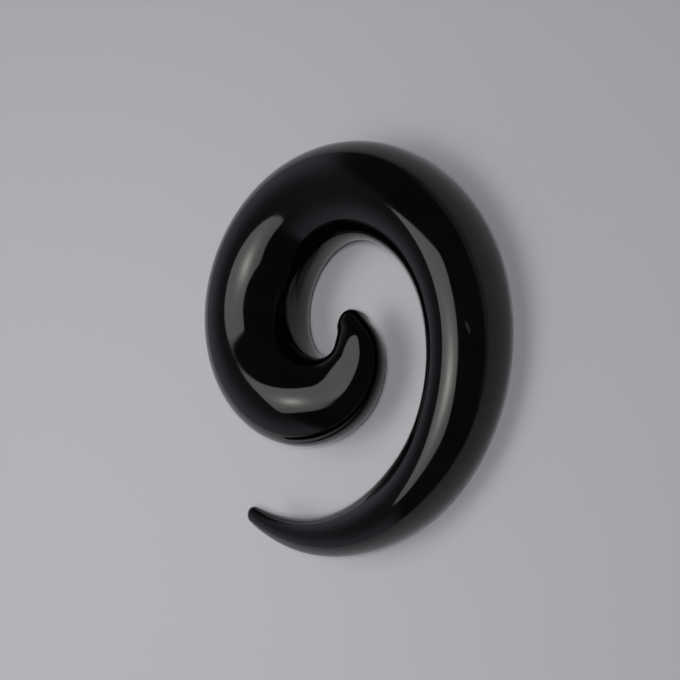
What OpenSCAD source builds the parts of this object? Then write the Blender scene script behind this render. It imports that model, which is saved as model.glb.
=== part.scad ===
// Spiral ear taper: one round bar of glossy black acrylic, wound into a flat coil.
// The bar is thin and blunt at its inner tip, swells to the wearing gauge on the first turn, and
// thins again along the outer limb to a fine round tip that is threaded through the ear first.
// Millimetres, +Z up. It lies on its side, and the origin is under the middle of its box.

/* [Bar] */
// Thickness of the bar where it is widest, which is the gauge that is worn
gauge_d = 10; // [7:0.5:10]
// Sides of the bar's round section
bar_sides = 24; // [16:4:32]

/* [Coil] */
// Distance from the eye of the coil to the middle of the inner tip
eye_r = 2.8; // [2.6:0.1:3.4]
// Distance from the eye of the coil to the middle of the outer tip
reach_r = 19.1; // [18.5:0.1:23]
// Angle that the bar turns through from tip to tip
turn_deg = 499; // [440:1:505]
// Direction of the inner tip from the eye, measured from +X toward +Y
start_deg = 20.5; // [0:0.5:45]
// Rate at which the coil opens at the inner tip, where 1 is an even opening
open_start = 0.38; // [0.36:0.01:0.7]
// Rate at which the coil opens at the outer tip
open_end = 0.06; // [0:0.01:0.3]

/* [Fineness] */
// Angle of the turn from one ring of the bar to the next
ring_step_deg = 4.5; // [3.5:0.5:6]
// Rings in the rounding of each tip
tip_rings = 4; // [3:1:6]

/* [Hidden] */

// Thickness of the bar along its way from the inner tip, at 0, to the outer tip, at 1.
// Columns: share of the turn, thickness as a share of the gauge
WAY = 0;
THICKNESS = 1;
bar_rows = [
    [0.00, 0.310], // inner tip
    [0.02, 0.325],
    [0.05, 0.385], // end of the blunt nose
    [0.10, 0.490],
    [0.17, 0.665], // under the eye
    [0.27, 0.900],
    [0.40, 1.000], // widest, where it is worn
    [0.55, 0.960], // over the top
    [0.70, 0.870],
    [0.82, 0.720], // down the outer limb
    [0.90, 0.535],
    [0.95, 0.355],
    [0.98, 0.240],
    [1.00, 0.160]  // outer tip
];
last_row = len(bar_rows) - 1;

// Stations of the way where the bar touches the surface that it lies on
rest_ways = [0.34, 0.36, 0.70];

ring_count = ceil(turn_deg / ring_step_deg);
// Half the stretch of the way over which a direction or a slope is measured
probe = 0.001;
opening = reach_r - eye_r;

function unit(v) = v / norm(v);
function column(list, axis) = [for (item = list) item[axis]];
function middle(values) = (min(values) + max(values)) / 2;

// Smooth curve over u from 0 to 1, from its two end values and its two end slopes
function smooth(u, from, to, slope_from, slope_to) =
    from * (1 + 2 * u) * (1 - u) * (1 - u)
    + slope_from * u * (1 - u) * (1 - u)
    + to * u * u * (3 - 2 * u)
    + slope_to * u * u * (u - 1);

// Length of the way between two neighbouring rows, and the slope of the thickness over it
function row_gap(i) = bar_rows[i + 1][WAY] - bar_rows[i][WAY];
function gap_slope(i) = (bar_rows[i + 1][THICKNESS] - bar_rows[i][THICKNESS]) / row_gap(i);

// Slope of the thickness at a row, so that the stretches on its two sides meet without a kink
function row_slope(i) =
    i == 0 ? 2 * gap_slope(0) - row_slope(1)
    : i == last_row ? 2 * gap_slope(i - 1) - row_slope(i - 1)
    : (row_gap(i) * gap_slope(i - 1) + row_gap(i - 1) * gap_slope(i)) / (row_gap(i - 1) + row_gap(i));

// Row that starts the stretch in which a station lies
function row_before(way, i = 0) =
    i == last_row - 1 || way < bar_rows[i + 1][WAY] ? i : row_before(way, i + 1);

// Radius of the bar at a station
function bar_r(way) =
    let (i = row_before(way), gap = row_gap(i))
    gauge_d / 2 * smooth(
        (way - bar_rows[i][WAY]) / gap,
        bar_rows[i][THICKNESS],
        bar_rows[i + 1][THICKNESS],
        row_slope(i) * gap,
        row_slope(i + 1) * gap
    );

// Middle of the bar at a station, in the flat plane of the coil, turning clockwise and outward
function bar_middle(way) =
    let (
        from_eye = smooth(way, eye_r, reach_r, open_start * opening, open_end * opening),
        angle = start_deg - turn_deg * way
    )
    from_eye * [cos(angle), sin(angle), 0];

// Direction of the bar at a station, and the direction that looks out of the coil there
function bar_along(way) = unit(bar_middle(way + probe) - bar_middle(way - probe));
function bar_outward(way) = let (along = bar_along(way)) [-along.y, along.x, 0];

// One ring of points round the bar
function ring(middle_point, outward, radius) = [
    for (k = [0 : bar_sides - 1])
        let (angle = 360 * k / bar_sides)
        middle_point + radius * (cos(angle) * outward + sin(angle) * [0, 0, 1])
];

// Rounded end past a tip: a dome that carries on the bar's own taper. direction is -1 at the
// inner tip and 1 at the outer one, and the rings run from the bar to the pole.
function tip_taper_deg(way, direction) =
    let (inner = way - direction * probe, run = norm(bar_middle(way) - bar_middle(inner)))
    atan((bar_r(inner) - bar_r(way)) / run);
function dome_r(way, direction) = bar_r(way) / cos(tip_taper_deg(way, direction));
function dome_middle(way, direction, lift_deg) =
    bar_middle(way) + direction * bar_along(way) * dome_r(way, direction)
    * (sin(lift_deg) - sin(tip_taper_deg(way, direction)));
function dome_rings(way, direction) = [
    for (k = [1 : tip_rings])
        let (
            taper = tip_taper_deg(way, direction),
            lift = taper + (90 - taper) * k / (tip_rings + 1)
        )
        ring(dome_middle(way, direction, lift), bar_outward(way), dome_r(way, direction) * cos(lift))
];
function reversed(list) = [for (i = [len(list) - 1 : -1 : 0]) list[i]];

// All rings of the bar from the inner pole to the outer one
function ring_at(way) = ring(bar_middle(way), bar_outward(way), bar_r(way));
bar_rings = concat(
    reversed(dome_rings(0, -1)),
    [for (i = [0 : ring_count]) ring_at(i / ring_count)],
    dome_rings(1, 1)
);
flat_points = concat(
    [dome_middle(0, -1, 90)],
    [for (one_ring = bar_rings) each one_ring],
    [dome_middle(1, 1, 90)]
);

// Upward direction of the surface under the coil, seen in the plane of the coil. It touches the
// bar from below at the three rest stations, so the coil leans a little toward its thin limb.
rest_edge_a = bar_middle(rest_ways[0]) - bar_middle(rest_ways[2]);
rest_edge_b = bar_middle(rest_ways[1]) - bar_middle(rest_ways[2]);
rest_drop_a = bar_r(rest_ways[0]) - bar_r(rest_ways[2]);
rest_drop_b = bar_r(rest_ways[1]) - bar_r(rest_ways[2]);
rest_area = rest_edge_a.x * rest_edge_b.y - rest_edge_a.y * rest_edge_b.x;
up_x = (rest_drop_a * rest_edge_b.y - rest_drop_b * rest_edge_a.y) / rest_area;
up_y = (rest_edge_a.x * rest_drop_b - rest_edge_b.x * rest_drop_a) / rest_area;
up = [up_x, up_y, sqrt(1 - up_x * up_x - up_y * up_y)];
level_x = unit([up.z, 0, -up.x]);
level_y = cross(up, level_x);
level = [level_x, level_y, up];

// The points as the bar lies, then set down on the surface with the origin under the box's middle
level_points = [for (p = flat_points) level * p];
box_foot = [
    middle(column(level_points, 0)),
    middle(column(level_points, 1)),
    min(column(level_points, 2))
];
bar_points = [for (p = level_points) p - box_foot];

// Triangles between neighbouring rings, and the fans that close the two poles, clockwise as seen
// from outside the bar
function wall_triangles(ring_total) = [
    for (i = [0 : ring_total - 2], k = [0 : bar_sides - 1])
        let (
            near = 1 + i * bar_sides + k,
            near_next = 1 + i * bar_sides + (k + 1) % bar_sides,
            far = near + bar_sides,
            far_next = near_next + bar_sides
        )
        each [[near, far_next, near_next], [near, far, far_next]]
];
function inner_fan() = [for (k = [0 : bar_sides - 1]) [0, 1 + k, 1 + (k + 1) % bar_sides]];
function outer_fan(pole) = [
    for (k = [0 : bar_sides - 1]) [pole, pole - bar_sides + (k + 1) % bar_sides, pole - bar_sides + k]
];

module spiral_taper() {
    color("black")
        polyhedron(
            points = bar_points,
            faces = concat(wall_triangles(len(bar_rings)), inner_fan(), outer_fan(len(bar_points) - 1)),
            convexity = 6
        );
}

spiral_taper();
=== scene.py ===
"""Spiral ear taper: one round bar of polished black acrylic, wound into a flat coil.

The bar is thin and blunt at its inner tip, swells to the wearing gauge on the first turn, and thins
again along the outer limb to a fine round tip. It lies on a pale floor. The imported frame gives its
place and its box, and lengths here are in metres.
"""

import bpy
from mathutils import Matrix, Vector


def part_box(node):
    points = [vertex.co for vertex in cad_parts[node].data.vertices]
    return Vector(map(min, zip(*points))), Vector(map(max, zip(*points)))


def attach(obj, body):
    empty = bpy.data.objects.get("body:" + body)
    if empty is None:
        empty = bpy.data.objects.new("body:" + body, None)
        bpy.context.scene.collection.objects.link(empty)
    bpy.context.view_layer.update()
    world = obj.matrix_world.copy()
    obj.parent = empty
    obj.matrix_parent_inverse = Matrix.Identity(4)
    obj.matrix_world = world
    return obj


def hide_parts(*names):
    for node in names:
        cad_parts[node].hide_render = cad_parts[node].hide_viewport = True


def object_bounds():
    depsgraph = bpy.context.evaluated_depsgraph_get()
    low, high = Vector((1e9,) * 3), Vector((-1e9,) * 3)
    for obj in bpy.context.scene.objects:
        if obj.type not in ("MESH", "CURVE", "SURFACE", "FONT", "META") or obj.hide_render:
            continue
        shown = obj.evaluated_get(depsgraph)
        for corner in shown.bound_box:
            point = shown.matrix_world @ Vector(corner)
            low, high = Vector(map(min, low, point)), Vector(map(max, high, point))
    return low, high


bl_info = {
    "name": "Spiral ear taper",
    "version": (1, 0, 0),
    "blender": (4, 5, 0),
    "location": "3D View > Sidebar > Taper",
    "description": "Builds a spiral ear taper with its finish, floor, light and camera",
    "category": "Add Mesh",
}

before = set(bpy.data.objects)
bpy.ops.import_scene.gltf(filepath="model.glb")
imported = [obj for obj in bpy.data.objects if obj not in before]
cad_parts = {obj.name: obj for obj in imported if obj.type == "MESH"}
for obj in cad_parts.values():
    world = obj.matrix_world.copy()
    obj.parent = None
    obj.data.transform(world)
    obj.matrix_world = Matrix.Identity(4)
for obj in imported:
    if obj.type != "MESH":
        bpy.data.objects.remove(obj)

import math
from typing import NamedTuple

import bpy
import numpy as np
from bpy.props import FloatProperty, FloatVectorProperty, IntProperty, PointerProperty
from bpy.types import Operator, Panel, PropertyGroup
from mathutils import Matrix, Vector, noise

CAD_LOW, CAD_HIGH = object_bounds()
NODE = "spiral_taper"
BODY = "root"
SLOT = "black_acrylic"
MM = 0.001

# Names of the values that the bar's mesh carries for its finish
STRAIGHT_BAR = "straight_bar"
NICK_DEPTH = "nick_depth"


class BarRow(NamedTuple):
    """Thickness of the bar at a share of its turn, as a share of the gauge."""

    way: float
    thickness: float


BAR_ROWS = (
    BarRow(0.00, 0.310),
    BarRow(0.02, 0.325),
    BarRow(0.05, 0.385),
    BarRow(0.10, 0.490),
    BarRow(0.17, 0.665),
    BarRow(0.27, 0.900),
    BarRow(0.40, 1.000),
    BarRow(0.55, 0.960),
    BarRow(0.70, 0.870),
    BarRow(0.82, 0.720),
    BarRow(0.90, 0.535),
    BarRow(0.95, 0.355),
    BarRow(0.98, 0.240),
    BarRow(1.00, 0.160),
)


class LiftRow(NamedTuple):
    """How far the bar's middle is off the coil's flat plane, which no hand-bent bar keeps to."""

    way: float
    lift: float


LIFT_ROWS = (
    LiftRow(0.00, 0.05 * MM),
    LiftRow(0.04, 0.15 * MM),
    LiftRow(0.07, 0.05 * MM),
    LiftRow(0.10, -0.12 * MM),
    LiftRow(0.15, -0.30 * MM),
    LiftRow(0.21, -0.30 * MM),
    LiftRow(0.29, 0.15 * MM),
    LiftRow(0.39, 0.15 * MM),
    LiftRow(0.50, 0.05 * MM),
    LiftRow(0.60, 0.25 * MM),
    LiftRow(0.66, 0.35 * MM),
    LiftRow(0.72, 0.15 * MM),
    LiftRow(0.78, -0.05 * MM),
    LiftRow(0.84, -0.10 * MM),
    LiftRow(0.90, -0.05 * MM),
    LiftRow(0.95, -0.05 * MM),
    LiftRow(1.00, -0.10 * MM),
)


class SectionRow(NamedTuple):
    """How the bar's section strays from a circle, as the heights of three waves round the bar.

    Angles round the bar run from its side that faces out of the coil, over the top. The oval has
    its crests at 0 and 180 degrees, the corners at 0, 120 and 240 degrees, and the turned corners
    at 30, 150 and 270 degrees.
    """

    way: float
    oval: float
    corners: float
    turned_corners: float


# Shaping by hand left the section flattened and a little cornered near the inner tip, and less so
# along the outer limb
SECTION_ROWS = (
    SectionRow(0.00, 0.05 * MM, -0.10 * MM, 0.0),
    SectionRow(0.05, 0.20 * MM, 0.05 * MM, 0.0),
    SectionRow(0.10, 0.18 * MM, 0.20 * MM, 0.0),
    SectionRow(0.16, 0.13 * MM, 0.20 * MM, 0.12 * MM),
    SectionRow(0.23, 0.02 * MM, 0.04 * MM, 0.08 * MM),
    SectionRow(0.32, 0.0, 0.0, 0.0),
    SectionRow(0.42, 0.0, 0.0, 0.0),
    SectionRow(0.55, 0.0, 0.0, 0.0),
    SectionRow(0.62, 0.0, 0.0, -0.05 * MM),
    SectionRow(0.69, 0.0, -0.08 * MM, -0.09 * MM),
    SectionRow(0.76, 0.02 * MM, 0.0, -0.02 * MM),
    SectionRow(0.82, 0.04 * MM, 0.0, -0.02 * MM),
    SectionRow(0.87, 0.08 * MM, -0.18 * MM, -0.04 * MM),
    SectionRow(0.92, 0.0, -0.10 * MM, -0.07 * MM),
    SectionRow(0.96, 0.03 * MM, 0.02 * MM, -0.10 * MM),
    SectionRow(1.00, 0.0, 0.05 * MM, 0.02 * MM),
)

# Stations of the two tips, and of the places where the bar touches the floor
TIPS = (0, 1)
REST_WAYS = (0.418, 0.424, 0.752)
# Half the stretch of the way over which a direction or a slope is measured
PROBE = 0.0005
# Rounds in which the coil's lean is worked out, because the lifts of its middle change it a little
LEAN_ROUNDS = 8
# Most that the sides of the round bar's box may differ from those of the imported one
BOX_SLACK = 0.2 * MM


class Ripple(NamedTuple):
    """One size of the faint unevenness that hand polishing leaves, as a share of the deepest."""

    wavelength: float
    share: float


RIPPLES = (
    Ripple(9.0 * MM, 1.0),
    Ripple(4.0 * MM, 0.35),
)


class Nick(NamedTuple):
    """A small groove in the surface, at a share of the turn and an angle round the bar.

    Its slant turns it from lengthwise toward growing angles.
    """

    way: float
    around_deg: float
    half_length: float
    half_width: float
    slant_deg: float
    depth: float


NICKS = (
    Nick(0.7645, 50.8, 0.66 * MM, 0.18 * MM, -19.0, 0.030 * MM),
    Nick(0.7680, 37.8, 0.22 * MM, 0.20 * MM, 0.0, 0.016 * MM),
)

# Stretches of the way and of the turn round the bar over which the mesh closes up for the nicks,
# how many times closer it gets there, and how many samples its spacing is worked out from
NICK_HALF_WAY = 0.008
NICK_HALF_TURN = math.radians(10.0)
CROWDING = 4
CROWD_SAMPLES = 4001
# Samples from which the length of the bar up to a nick is worked out
TRAVEL_SAMPLES = 400


class TaperSizes(PropertyGroup):
    """Sizes of the bar and of the coil that it is wound into."""

    gauge: FloatProperty(
        name="Gauge",
        description="Thickness of the bar where it is widest",
        default=10.0 * MM,
        unit="LENGTH",
        precision=4,
    )
    eye_distance: FloatProperty(
        name="Eye distance",
        description="From the eye of the coil to the middle of the inner tip",
        default=2.8 * MM,
        unit="LENGTH",
        precision=4,
    )
    reach: FloatProperty(
        name="Reach",
        description="From the eye of the coil to the middle of the outer tip",
        default=19.1 * MM,
        unit="LENGTH",
        precision=4,
    )
    turn: FloatProperty(
        name="Turn",
        description="Angle that the bar turns through from tip to tip",
        default=math.radians(499.0),
        subtype="ANGLE",
    )
    start: FloatProperty(
        name="Start",
        description="Direction of the inner tip from the eye",
        default=math.radians(20.5),
        subtype="ANGLE",
    )
    open_start: FloatProperty(
        name="Opening at the eye",
        description="Rate at which the coil opens at the inner tip, where 1 is an even opening",
        default=0.38,
    )
    open_end: FloatProperty(
        name="Opening at the tip",
        description="Rate at which the coil opens at the outer tip",
        default=0.06,
    )
    ripple: FloatProperty(
        name="Ripple",
        description="Height of the faint unevenness that polishing by hand leaves",
        default=0.012 * MM,
        unit="LENGTH",
        precision=6,
    )
    sides: IntProperty(
        name="Sides",
        description="Faces round the bar",
        default=110,
        min=12,
    )
    rings: IntProperty(
        name="Rings",
        description="Faces along the bar between its rounded tips",
        default=750,
        min=60,
    )
    dome_rings: IntProperty(
        name="Dome rings",
        description="Faces from the end of the bar to the pole of each tip",
        default=18,
        min=4,
    )


class Plan(NamedTuple):
    """Measures along X and Y. On the light panel they are shares of its height over the floor."""

    x: float
    y: float


# Corners of the panel, counterclockwise as seen from above
PANEL = (Plan(-0.66, 0.175), Plan(-0.43, -0.65), Plan(0.29, -0.52), Plan(0.20, 0.42))
# Stretch over which two edges of the panel round into each other, and half the width over which
# its light fades at its edges
PANEL_ROUND = 0.2
PANEL_EDGE = 0.02
# How much brighter the panel grows along X and Y, for each height of the panel
PANEL_SLOPE = Plan(-0.1, 0.5)
# Where the lamp stands behind the panel, and how far its bright core spreads each way
CORE = Plan(-0.10, -0.145)
CORE_HALF = Plan(0.21, 0.15)
# The lamp that lights the floor: where it hangs and its radius, and where its pool of light lies
FILL_PLACE = Vector((0.76, -0.10, 0.92))
FILL_RADIUS = 0.1
POOL_PLACE = Vector((-0.055, -0.02, 0.0))
POOL_RADIUS = 0.14
# The room, by the parts of a direction along X, Y and Z. The walls lie where its part along
# WALLS_WAY is low, and lose a share of their light higher up. The glow lies where its part along
# GLOW_WAY is high, and near the floor. A pair is where a change starts and where it ends.
ROOM_RADIANCE = 0.045
WALLS_RADIANCE = 0.28
WALLS_WAY = Plan(0.954, 0.30)
WALLS_EDGE = (-0.50, -0.26)
WALLS_HEIGHT = (0.25, 0.80)
WALLS_LOSS = 0.75
GLOW_RADIANCE = 0.25
GLOW_WAY = Plan(0.85, 0.53)
GLOW_EDGE = (0.3, 0.95)
GLOW_HEIGHT = (-0.02, 0.16)
# Half the width of the floor
FLOOR_HALF = 3.0
# What the camera looks at, the width of its sensor in millimetres, and the nearest and farthest
# that it sees
AIM = Vector((-2.59 * MM, 0.90 * MM, 4.01 * MM))
SENSOR_WIDTH = 36.0
NEAREST = 0.01
FARTHEST = 20.0


class Grain(NamedTuple):
    """Noise: the width of its patches, its detail, and how much finer it is along X, Y and Z.

    The bar is laid out straight for it, so Z runs along the bar.
    """

    width: float
    detail: float
    fineness: tuple = (1.0, 1.0, 1.0)


SMOKE = Grain(7.0 * MM, 3.0)
FINGERING = Grain(2.6 * MM, 4.0, (1.0, 1.0, 0.5))
HAIRLINES = Grain(0.09 * MM, 1.0, (1.0, 1.0, 0.03))
SWIRLS = Grain(0.07 * MM, 1.0, (0.12, 0.12, 1.0))
WEAR = Grain(4.5 * MM, 2.0)
PEEL = Grain(0.9 * MM, 1.0)
TOOTH = Grain(0.6 * MM, 3.0)
# Levels of the noise at which smoke, fingering and wear start and are full, and shares of a nick's
# depth at which its surface starts to be dry and is wholly dry
SMOKE_RISE = (0.42, 0.68)
FINGERING_RISE = (0.45, 0.75)
WEAR_RISE = (0.5, 0.72)
SCUFF_RISE = (0.25, 0.8)
# How much thinner a fine line is than the noise that it follows
LINE_THINNESS = 14
# Strength of the two kinds of fine line where the polish is worn, and the height that they take
# from the orange peel, as a share of its own
HAIRLINE_SHARE = 0.6
SWIRL_SHARE = 0.4
LINE_DEPTH = 0.25
# Shares of the haze that fingering and fine lines make, and the roughness that a dry nick adds
FINGERING_HAZE = 0.5
LINE_HAZE = 0.5
SCUFF_ROUGHNESS = 0.5
# Height of the fine relief, and how strongly it shows on the bar and on the floor
RELIEF_HEIGHT = 0.02 * MM
PEEL_STRENGTH = 0.05
TOOTH_STRENGTH = 0.1
ACRYLIC_IOR = 1.49
FLOOR_ROUGHNESS = 0.9
FLOOR_SPECULAR = 0.1


class TaperFinish(PropertyGroup):
    """Colours and gloss of the polished acrylic."""

    black: FloatVectorProperty(
        name="Black",
        description="Colour of the acrylic",
        default=(0.0005, 0.0004, 0.0005),
        subtype="COLOR",
    )
    smoke: FloatVectorProperty(
        name="Smoke",
        description="Colour of the faint paler clouds in the acrylic",
        default=(0.0016, 0.0013, 0.0015),
        subtype="COLOR",
    )
    scuff: FloatVectorProperty(
        name="Scuff",
        description="Colour of the dry, broken surface in a nick",
        default=(0.010, 0.010, 0.0095),
        subtype="COLOR",
    )
    gloss: FloatProperty(
        name="Gloss roughness",
        description="Roughness of the cleanest polish",
        default=0.055,
    )
    haze: FloatProperty(
        name="Haze",
        description="Extra roughness where the polish is cloudy or fingered",
        default=0.06,
    )


class TaperStage(PropertyGroup):
    """Floor, light and camera."""

    floor: FloatVectorProperty(
        name="Floor",
        description="Colour of the floor",
        default=(0.455, 0.45, 0.48),
        subtype="COLOR",
    )
    panel_height: FloatProperty(
        name="Panel height",
        description="Height of the light panel over the floor",
        default=0.8,
        unit="LENGTH",
    )
    panel_radiance: FloatProperty(
        name="Panel brightness",
        description="Brightness of the panel away from its core",
        default=1.55,
    )
    core_radiance: FloatProperty(
        name="Core brightness",
        description="Brightness that the lamp behind the panel adds at its core",
        default=4.8,
    )
    panel_tint: FloatVectorProperty(
        name="Panel tint",
        description="Colour of the panel's light",
        default=(0.985, 1.0, 0.98),
        subtype="COLOR",
    )
    core_tint: FloatVectorProperty(
        name="Core tint",
        description="Colour of the light at the panel's core",
        default=(1.0, 1.0, 0.9),
        subtype="COLOR",
    )
    room_tint: FloatVectorProperty(
        name="Room tint",
        description="Colour of the dim light from the room",
        default=(0.89, 0.84, 1.0),
        subtype="COLOR",
    )
    fill_power: FloatProperty(
        name="Fill power",
        description="Power of the lamp that lights the floor round the coil",
        default=54.0,
        unit="POWER",
    )
    distance: FloatProperty(
        name="Camera distance",
        description="From the camera to the place in the coil that it looks at",
        default=0.471,
        unit="LENGTH",
    )
    frame_width: FloatProperty(
        name="Frame width",
        description="Width of the scene at the coil that fills the picture",
        default=64.13 * MM,
        unit="LENGTH",
        precision=5,
    )
    elevation: FloatProperty(
        name="Camera elevation",
        description="Height of the view above the horizon",
        default=math.radians(45.79),
        subtype="ANGLE",
    )
    azimuth: FloatProperty(
        name="Camera azimuth",
        description="Side that the view comes from, from the front toward +X",
        default=math.radians(82.21),
        subtype="ANGLE",
    )
    roll: FloatProperty(
        name="Camera roll",
        description="Turn of the picture, which sets the coil upright in it",
        default=math.radians(81.89),
        subtype="ANGLE",
    )


# The two inputs and the output of a Mix node that carry colours
MIX_UNDER = 6
MIX_OVER = 7
MIX_RESULT = 2


class Wire:
    """An output socket. Expressions on wires and numbers add Math nodes to its tree."""

    def __init__(self, shader, socket):
        self.shader = shader
        self.socket = socket

    def math(self, operation, *values):
        return self.shader.node("ShaderNodeMath", {"operation": operation}, dict(enumerate(values)))

    def __add__(self, other):
        return self.math("ADD", self, other)

    __radd__ = __add__

    def __sub__(self, other):
        return self.math("SUBTRACT", self, other)

    def __rsub__(self, other):
        return self.math("SUBTRACT", other, self)

    def __mul__(self, other):
        return self.math("MULTIPLY", self, other)

    __rmul__ = __mul__

    def __truediv__(self, other):
        return self.math("DIVIDE", self, other)

    def __rtruediv__(self, other):
        return self.math("DIVIDE", other, self)

    def __abs__(self):
        return self.math("ABSOLUTE", self)

    def over(self, low, high):
        """0 under low, 1 over high, and smooth between them."""
        return self.shader.node(
            "ShaderNodeMapRange",
            {"interpolation_type": "SMOOTHSTEP"},
            {"Value": self, "From Min": low, "From Max": high},
        )


class Shader:
    """Adds nodes to one node tree."""

    def __init__(self, tree):
        self.tree = tree
        tree.nodes.clear()

    def node(self, kind, settings=None, sockets=None, output=0):
        """One node, from its type, its settings and the values or wires of its sockets."""
        made = self.tree.nodes.new(kind)
        for name, value in (settings or {}).items():
            setattr(made, name, value)
        for name, value in (sockets or {}).items():
            if isinstance(value, Wire):
                self.tree.links.new(value.socket, made.inputs[name])
            else:
                made.inputs[name].default_value = value
        return Wire(self, made.outputs[output]) if len(made.outputs) else None

    def parts(self, vector):
        """The x, y and z of a vector."""
        split = self.node("ShaderNodeSeparateXYZ", None, {0: vector}).socket.node
        return [Wire(self, socket) for socket in split.outputs]

    def grain(self, place, grain):
        """Noise around 0.5 at a place."""
        fine = {0: place, 1: grain.fineness}
        place = self.node("ShaderNodeVectorMath", {"operation": "MULTIPLY"}, fine)
        sockets = {"Vector": place, "Scale": 1.0 / grain.width, "Detail": grain.detail}
        return self.node("ShaderNodeTexNoise", None, sockets)

    def fine_lines(self, place, grain):
        """1 along the middle level of the noise, which runs in thin lines, and 0 beside it."""
        return 1 - (abs(self.grain(place, grain) - 0.5) * LINE_THINNESS).over(0.0, 1.0)

    def bump(self, height, strength):
        """The normal of a fine relief whose height runs from 0 to 1."""
        sockets = {"Strength": strength, "Distance": RELIEF_HEIGHT, "Height": height}
        return self.node("ShaderNodeBump", None, sockets)

    def blend(self, factor, under, over):
        """One colour laid over another."""
        sockets = {0: factor, MIX_UNDER: colour4(under), MIX_OVER: colour4(over)}
        return self.node("ShaderNodeMix", {"data_type": "RGBA"}, sockets, output=MIX_RESULT)


def colour4(colour):
    """A colour with the alpha that a colour socket takes. A wire stays as it is."""
    return colour if isinstance(colour, Wire) else (*colour, 1.0)


def hermite(u, start, end, start_slope, end_slope):
    """Smooth curve over u from 0 to 1, from its end values and its end slopes."""
    v = 1 - u
    from_start = start * (1 + 2 * u) * v * v + start_slope * u * v * v
    return from_start + end * u * u * (3 - 2 * u) - end_slope * u * u * v


def spline(knots, values, at):
    """Natural cubic spline. Its bend is even, so reflections run over it without a kink."""
    gaps = np.diff(knots)
    slopes = np.diff(values) / gaps
    count = len(knots)
    matrix = np.eye(count)
    right = np.zeros(count)
    for i in range(1, count - 1):
        matrix[i, i - 1 : i + 2] = gaps[i - 1], 2 * (gaps[i - 1] + gaps[i]), gaps[i]
        right[i] = 6 * (slopes[i] - slopes[i - 1])
    bends = np.linalg.solve(matrix, right)
    i = np.clip(np.searchsorted(knots, at, side="right") - 1, 0, count - 2)
    gap = gaps[i]
    a = (knots[i + 1] - at) / gap
    b = (at - knots[i]) / gap
    bow = ((a**3 - a) * bends[i] + (b**3 - b) * bends[i + 1]) * gap * gap / 6
    return a * values[i] + b * values[i + 1] + bow


def unit(vectors):
    """The same vectors, one unit long."""
    return vectors / np.linalg.norm(vectors, axis=-1, keepdims=True)


class Coil:
    """The bar's law in the frame of the flat coil: where its middle runs and how thick it is."""

    def __init__(self, sizes):
        self.sizes = sizes
        self.thickness = np.array(BAR_ROWS).T
        self.lift = np.array(LIFT_ROWS).T

    def middle(self, way):
        """Middle of the bar, turning clockwise and outward from the eye at the origin."""
        sizes = self.sizes
        opening = sizes.reach - sizes.eye_distance
        slopes = sizes.open_start * opening, sizes.open_end * opening
        from_eye = hermite(way, sizes.eye_distance, sizes.reach, *slopes)
        angle = sizes.start - sizes.turn * way
        x, y = from_eye * np.cos(angle), from_eye * np.sin(angle)
        return np.stack([x, y, spline(*self.lift, way)], axis=-1)

    def radius(self, way):
        """Half the thickness of the bar."""
        return self.sizes.gauge / 2 * spline(*self.thickness, way)

    def along(self, way):
        """Direction of the bar."""
        return unit(self.middle(way + PROBE) - self.middle(way - PROBE))

    def taper(self, way, direction):
        """Angle at which the bar narrows toward the tip that lies in that direction of the way."""
        inner = way - direction * PROBE
        run = np.linalg.norm(self.middle(way) - self.middle(inner))
        return math.atan((self.radius(inner) - self.radius(way)) / run)

    def level(self):
        """Rotation that lays the coil down on the floor, touching it at the three rest stations."""
        ways = np.array(REST_WAYS)
        edges = self.middle(ways[:2]) - self.middle(ways[2])
        drops = self.radius(ways[:2]) - self.radius(ways[2])
        up = np.array([0.0, 0.0, 1.0])
        for _ in range(LEAN_ROUNDS):
            across = np.linalg.solve(edges[:, :2], drops - up[2] * edges[:, 2])
            up = np.array([*across, math.sqrt(1 - across @ across)])
        level_x = unit(np.array([up[2], 0, -up[0]]))
        return np.stack([level_x, np.cross(up, level_x), up])


class Sections(NamedTuple):
    """Rings of the bar from pole to pole. Travel is how far along the bar each one lies."""

    way: np.ndarray
    middle: np.ndarray
    along: np.ndarray
    radius: np.ndarray
    travel: np.ndarray


def dome_sections(coil, way, direction, count):
    """Rings of the rounded end past a tip, from the bar to its pole. They carry on its taper."""
    way = np.array(float(way))
    taper = coil.taper(way, direction)
    dome_radius = coil.radius(way) / math.cos(taper)
    lift = taper + (math.pi / 2 - taper) * np.arange(1, count + 1) / count
    along = coil.along(way)
    out = direction * dome_radius * (np.sin(lift) - math.sin(taper))
    middle = coil.middle(way) + out[:, None] * along
    radius = dome_radius * np.cos(lift)
    return Sections(np.full(count, way), middle, np.tile(along, (count, 1)), radius, out)


def bar_sections(coil, sizes):
    """All rings of the bar, from one pole to the other. The poles are rings with no width."""
    way = crowded(*TIPS, sizes.rings, NICKS[0].way, NICK_HALF_WAY)
    middle = coil.middle(way)
    steps = np.linalg.norm(np.diff(middle, axis=0), axis=1)
    travel = np.concatenate([[0], np.cumsum(steps)])
    body = Sections(way, middle, coil.along(way), coil.radius(way), travel)
    inner = dome_sections(coil, TIPS[0], -1, sizes.dome_rings)
    outer = dome_sections(coil, TIPS[1], 1, sizes.dome_rings)
    outer = outer._replace(travel=travel[-1] + outer.travel)
    return Sections(*(np.concatenate([a[::-1], b, c]) for a, b, c in zip(inner, body, outer)))


def crowded(low, high, count, crowd, half_width):
    """Stations from low to high that close up smoothly about a place."""
    even = np.linspace(low, high, CROWD_SAMPLES)
    density = 1 + (CROWDING - 1) * np.exp(-(((even - crowd) / half_width) ** 2))
    share = np.concatenate([[0], np.cumsum((density[1:] + density[:-1]) / 2)])
    return np.interp(np.linspace(0, share[-1], count + 1), share, even)


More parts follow.
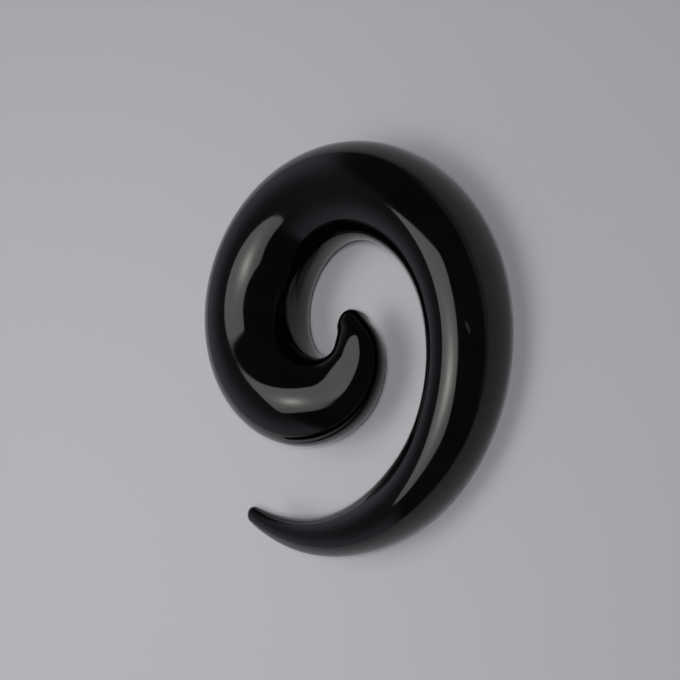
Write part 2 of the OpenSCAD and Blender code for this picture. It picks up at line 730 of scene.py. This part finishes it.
def ring_points(sections, around):
    """Points of every ring, and the directions in which they face, as (rings, sides, 3) arrays."""
    along = sections.along
    outward = unit(np.stack([-along[:, 1], along[:, 0], 0 * along[:, 0]], axis=-1))
    upward = np.cross(along, outward)
    cosine, sine = np.cos(around)[:, None], np.sin(around)[:, None]
    facing = cosine * outward[:, None] + sine * upward[:, None]
    return sections.middle[:, None] + sections.radius[:, None, None] * facing, facing


def straight_points(sections, around):
    """The same points on the bar before it was bent, which is where its finish is laid out."""
    radius = sections.radius[:, None]
    travel = np.repeat(sections.travel[:, None], len(around), axis=1)
    return np.stack([radius * np.cos(around), radius * np.sin(around), travel], axis=-1)


def section_heights(sections, around):
    """Height of each point over the round section, where the section is flattened or cornered."""
    rows = np.array(SECTION_ROWS).T
    oval, corners, turned = (spline(rows[0], row, sections.way)[:, None] for row in rows[1:])
    # A dome's rings shrink toward its pole, and the stray from the circle shrinks with them
    tip_radii = [sections.radius[sections.way == tip].max() for tip in TIPS]
    full = np.interp(sections.way, TIPS, tip_radii)
    share = np.where(np.isin(sections.way, TIPS), sections.radius / full, 1.0)[:, None]
    stray = oval * np.cos(2 * around) + corners * np.cos(3 * around) + turned * np.sin(3 * around)
    return share * stray


def ripple_height(straight, height):
    """Unevenness of the polish at each point of the straight bar."""
    heights = np.zeros(len(straight))
    for ripple in RIPPLES:
        waves = [noise.noise(Vector(point) / ripple.wavelength) for point in straight]
        heights += height * ripple.share * np.array(waves)
    return heights


def nick_depths(coil, straight):
    """Depth of the nicks at each point of the straight bar."""
    depths = np.zeros(len(straight))
    around = np.arctan2(straight[:, 1], straight[:, 0])
    for nick in NICKS:
        ways = np.linspace(0, nick.way, TRAVEL_SAMPLES)
        travel = np.linalg.norm(np.diff(coil.middle(ways), axis=0), axis=1).sum()
        radius = float(coil.radius(np.array(nick.way)))
        up = straight[:, 2] - travel
        across = (around - math.radians(nick.around_deg)) * radius
        slant = math.radians(nick.slant_deg)
        length = up * math.cos(slant) + across * math.sin(slant)
        width = across * math.cos(slant) - up * math.sin(slant)
        fall = (length / nick.half_length) ** 2 + (width / nick.half_width) ** 2
        depths += nick.depth * np.exp(-fall)
    return depths


def bar_faces(rings, sides):
    """Quads between the open rings, and the two fans that close the poles, facing out.

    Points are counted from the inner pole, ring by ring, to the outer pole.
    """
    ring = 1 + np.arange(rings - 1)[:, None] * sides
    next_ring = ring + sides
    side = np.arange(sides)
    after = (side + 1) % sides
    quads = np.stack([ring + side, ring + after, next_ring + after, next_ring + side], axis=-1)
    last_ring = 1 + (rings - 1) * sides
    outer_pole = last_ring + sides
    inner_fan = np.stack([0 * side, 1 + after, 1 + side], axis=-1)
    outer_fan = np.stack([0 * side + outer_pole, last_ring + side, last_ring + after], axis=-1)
    return quads.reshape(-1, 4).tolist() + inner_fan.tolist() + outer_fan.tolist()


def one_pole(grid):
    """Values of a (rings, sides, ...) grid in a row, with each pole's ring taken as one point."""
    return np.concatenate([grid[:1, 0], grid[1:-1].reshape(-1, *grid.shape[2:]), grid[-1:, 0]])


def make_mesh(name, points, faces, values):
    """A smooth mesh with its named values on its points."""
    mesh = bpy.data.meshes.new(name)
    mesh.from_pydata(points.tolist(), [], faces)
    for key, kind, slot, data in values:
        layer = mesh.attributes.new(key, kind, "POINT")
        layer.data.foreach_set(slot, data.astype(np.float32).ravel())
    mesh.polygons.foreach_set("use_smooth", np.ones(len(mesh.polygons), dtype=bool))
    mesh.update()
    return mesh


def black_acrylic(finish):
    """Black acrylic: faint smoke in its colour, haze and fine lines in its polish, dry nicks."""
    material = bpy.data.materials.new(SLOT)
    material.use_nodes = True
    shader = Shader(material.node_tree)
    bar = shader.node("ShaderNodeAttribute", {"attribute_name": STRAIGHT_BAR}, output="Vector")
    nick = shader.node("ShaderNodeAttribute", {"attribute_name": NICK_DEPTH}, output="Fac")
    scuffed = nick.over(*SCUFF_RISE)

    smoke = shader.grain(bar, SMOKE).over(*SMOKE_RISE)
    colour = shader.blend(smoke, finish.black, finish.smoke)
    colour = shader.blend(scuffed, colour, finish.scuff)

    fingering = shader.grain(bar, FINGERING).over(*FINGERING_RISE)
    hairlines = shader.fine_lines(bar, HAIRLINES)
    swirls = shader.fine_lines(bar, SWIRLS)
    worn = shader.grain(bar, WEAR).over(*WEAR_RISE)
    lines = (hairlines * HAIRLINE_SHARE + swirls * SWIRL_SHARE) * worn
    haze = FINGERING_HAZE * fingering + LINE_HAZE * lines
    roughness = finish.gloss + finish.haze * haze + SCUFF_ROUGHNESS * scuffed

    relief = shader.grain(bar, PEEL) - LINE_DEPTH * lines
    normal = shader.bump(relief, PEEL_STRENGTH)

    surface = shader.node(
        "ShaderNodeBsdfPrincipled",
        None,
        {"Base Color": colour, "Roughness": roughness, "IOR": ACRYLIC_IOR, "Normal": normal},
    )
    shader.node("ShaderNodeOutputMaterial", None, {"Surface": surface})
    return material


def floor_paint(stage):
    """Matt pale floor with a barely visible tooth."""
    material = bpy.data.materials.new("floor_paint")
    material.use_nodes = True
    shader = Shader(material.node_tree)
    place = shader.node("ShaderNodeTexCoord", output="Object")
    normal = shader.bump(shader.grain(place, TOOTH), TOOTH_STRENGTH)
    surface = shader.node(
        "ShaderNodeBsdfPrincipled",
        None,
        {
            "Base Color": colour4(stage.floor),
            "Roughness": FLOOR_ROUGHNESS,
            "Specular IOR Level": FLOOR_SPECULAR,
            "Normal": normal,
        },
    )
    shader.node("ShaderNodeOutputMaterial", None, {"Surface": surface})
    return material


class TAPER_OT_bar(Operator):
    """Build the whole taper: the wound bar with its polish, ripple and nicks"""

    bl_idname = "taper.bar"
    bl_label = "Spiral bar"

    def execute(self, context):
        sizes = context.scene.taper_sizes
        coil = Coil(sizes)
        sections = bar_sections(coil, sizes)
        nick_angle = math.radians(NICKS[0].around_deg)
        around = crowded(0.0, 2 * math.pi, sizes.sides, nick_angle, NICK_HALF_TURN)[:-1]
        points, facing = (one_pole(grid) for grid in ring_points(sections, around))
        straight = one_pole(straight_points(sections, around))
        depths = nick_depths(coil, straight)
        heights = one_pole(section_heights(sections, around))
        heights += ripple_height(straight, sizes.ripple)
        heights -= depths

        level = coil.level()
        points = points @ level.T
        facing = facing @ level.T
        low, high = points.min(axis=0), points.max(axis=0)
        cad_low, cad_high = (np.array(corner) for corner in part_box(NODE))
        shift = (cad_low + cad_high) / 2 - (low + high) / 2
        shift[2] = cad_low[2] - low[2]
        placed = points + shift + heights[:, None] * facing
        if np.abs((high - low) - (cad_high - cad_low)).max() > BOX_SLACK:
            raise RuntimeError("the bar's box differs from the packed one")

        rings = len(sections.radius) - 2
        deepest = max(nick.depth for nick in NICKS)
        values = (
            (STRAIGHT_BAR, "FLOAT_VECTOR", "vector", straight),
            (NICK_DEPTH, "FLOAT", "value", depths / deepest),
        )
        mesh = make_mesh(NODE, placed, bar_faces(rings, len(around)), values)
        mesh.materials.append(black_acrylic(context.scene.taper_finish))
        bar = bpy.data.objects.new("spiral_bar", mesh)
        context.scene.collection.objects.link(bar)
        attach(bar, BODY)
        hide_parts(NODE)
        return {"FINISHED"}


class TAPER_OT_stage(Operator):
    """Build the pale floor, the light and the camera"""

    bl_idname = "taper.stage"
    bl_label = "Floor, light and camera"

    def execute(self, context):
        stage = context.scene.taper_stage
        make_floor(context, stage)
        make_light(context, stage)
        make_fill(context, stage)
        make_room(context.scene, stage)
        make_camera(context, stage)
        context.scene.view_settings.view_transform = "Standard"
        return {"FINISHED"}


def make_floor(context, stage):
    """A wide floor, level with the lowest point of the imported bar."""
    half = FLOOR_HALF
    corners = [(-half, -half, 0), (half, -half, 0), (half, half, 0), (-half, half, 0)]
    mesh = bpy.data.meshes.new("floor")
    mesh.from_pydata(corners, [], [(0, 1, 2, 3)])
    mesh.materials.append(floor_paint(stage))
    floor = bpy.data.objects.new("floor", mesh)
    floor.location.z = CAD_LOW[2]
    context.scene.collection.objects.link(floor)


def make_light(context, stage):
    """A wide soft panel overhead, cut to its corners, brighter where its lamp stands behind it."""
    height = stage.panel_height
    low = Plan(*(min(column) - PANEL_EDGE for column in zip(*PANEL)))
    high = Plan(*(max(column) + PANEL_EDGE for column in zip(*PANEL)))
    data = bpy.data.lights.new("panel", "AREA")
    data.shape = "RECTANGLE"
    data.size = (high.x - low.x) * height
    data.size_y = (high.y - low.y) * height
    # The power grows with the area, so the brightness stays the same at any size
    data.energy = math.pi * data.size * data.size_y
    data.use_nodes = True
    shader = Shader(data.node_tree)
    place = shader.node("ShaderNodeNewGeometry", output="Position")
    x, y, _ = (part / height for part in shader.parts(place))
    inside = 1.0
    for a, b in zip(PANEL, PANEL[1:] + PANEL[:1]):
        from_edge = ((y - a.y) * (b.x - a.x) - (x - a.x) * (b.y - a.y)) / math.dist(a, b)
        inside = from_edge.math("SMOOTH_MIN", from_edge, inside, PANEL_ROUND)
    # Squares are products, because a Power node has no answer for a number below nought
    core_x = (x - CORE.x) / CORE_HALF.x
    core_y = (y - CORE.y) / CORE_HALF.y
    fall = 1 / (1 + core_x * core_x + core_y * core_y)
    core = fall * fall
    cloth = stage.panel_radiance + PANEL_SLOPE.x * x + PANEL_SLOPE.y * y
    strength = inside.over(-PANEL_EDGE, PANEL_EDGE) * (cloth + stage.core_radiance * core)
    tint = shader.blend(core, stage.panel_tint, stage.core_tint)
    emission = shader.node("ShaderNodeEmission", None, {"Color": tint, "Strength": strength})
    shader.node("ShaderNodeOutputLight", None, {"Surface": emission})
    panel = bpy.data.objects.new("panel", data)
    panel.location = ((low.x + high.x) / 2 * height, (low.y + high.y) / 2 * height, height)
    context.scene.collection.objects.link(panel)


def make_fill(context, stage):
    """A soft lamp that lays a pale pool of light round the coil. The gloss doesn't mirror it."""
    beam = POOL_PLACE - FILL_PLACE
    data = bpy.data.lights.new("fill", "SPOT")
    data.energy = stage.fill_power
    data.shadow_soft_size = FILL_RADIUS
    data.spot_size = 2 * math.atan(POOL_RADIUS / beam.length)
    data.spot_blend = 1.0
    fill = bpy.data.objects.new("fill", data)
    fill.location = FILL_PLACE
    fill.rotation_euler = beam.to_track_quat("-Z", "Y").to_euler()
    fill.visible_camera = False
    fill.visible_glossy = False
    context.scene.collection.objects.link(fill)


def make_room(scene, stage):
    """A dim room, with paler walls on the -X side and a low glow on the +X side."""
    world = bpy.data.worlds.new("room")
    scene.world = world
    world.use_nodes = True
    shader = Shader(world.node_tree)
    x, y, z = shader.parts(shader.node("ShaderNodeTexCoord", output="Generated"))
    beside_walls = (WALLS_WAY.x * x + WALLS_WAY.y * y).over(*WALLS_EDGE)
    walls = (1 - beside_walls) * (1 - WALLS_LOSS * z.over(*WALLS_HEIGHT))
    glow = (GLOW_WAY.x * x + GLOW_WAY.y * y).over(*GLOW_EDGE) * (1 - z.over(*GLOW_HEIGHT))
    strength = ROOM_RADIANCE + WALLS_RADIANCE * walls + GLOW_RADIANCE * glow
    sockets = {"Color": colour4(stage.room_tint), "Strength": strength}
    background = shader.node("ShaderNodeBackground", None, sockets)
    shader.node("ShaderNodeOutputWorld", None, {"Surface": background})


def make_camera(context, stage):
    """The photograph's view of the coil, turned so that the coil stands upright in the picture."""
    data = bpy.data.cameras.new("camera")
    data.sensor_width = SENSOR_WIDTH
    data.lens = SENSOR_WIDTH * stage.distance / stage.frame_width
    data.clip_start = NEAREST
    data.clip_end = FARTHEST
    level_part = math.cos(stage.elevation)
    x, y = math.sin(stage.azimuth) * level_part, -math.cos(stage.azimuth) * level_part
    back = Vector((x, y, math.sin(stage.elevation)))
    upright = (-back).to_track_quat("-Z", "Y").to_matrix()
    turned = upright @ Matrix.Rotation(-stage.roll, 3, "Z")
    camera = bpy.data.objects.new("camera", data)
    camera.matrix_world = Matrix.Translation(AIM + back * stage.distance) @ turned.to_4x4()
    context.scene.collection.objects.link(camera)
    context.scene.camera = camera


class TAPER_PT_panel(Panel):
    """Lists the operators and the properties of the taper"""

    bl_idname = "TAPER_PT_panel"
    bl_label = "Spiral ear taper"
    bl_space_type = "VIEW_3D"
    bl_region_type = "UI"
    bl_category = "Taper"

    def draw(self, context):
        column = self.layout.column()
        for operator in (TAPER_OT_bar, TAPER_OT_stage):
            column.operator(operator.bl_idname)
        for group_name in GROUPS:
            group = getattr(context.scene, group_name)
            box = self.layout.box()
            for name in group.__annotations__:
                box.prop(group, name)


GROUPS = {"taper_sizes": TaperSizes, "taper_finish": TaperFinish, "taper_stage": TaperStage}
CLASSES = (TaperSizes, TaperFinish, TaperStage, TAPER_OT_bar, TAPER_OT_stage, TAPER_PT_panel)


def register():
    for cls in CLASSES:
        bpy.utils.register_class(cls)
    for name, group in GROUPS.items():
        setattr(bpy.types.Scene, name, PointerProperty(type=group))


def unregister():
    for name in GROUPS:
        delattr(bpy.types.Scene, name)
    for cls in reversed(CLASSES):
        bpy.utils.unregister_class(cls)


def main():
    register()
    bpy.ops.taper.bar()
    bpy.ops.taper.stage()


if __name__ == "__main__":
    main()
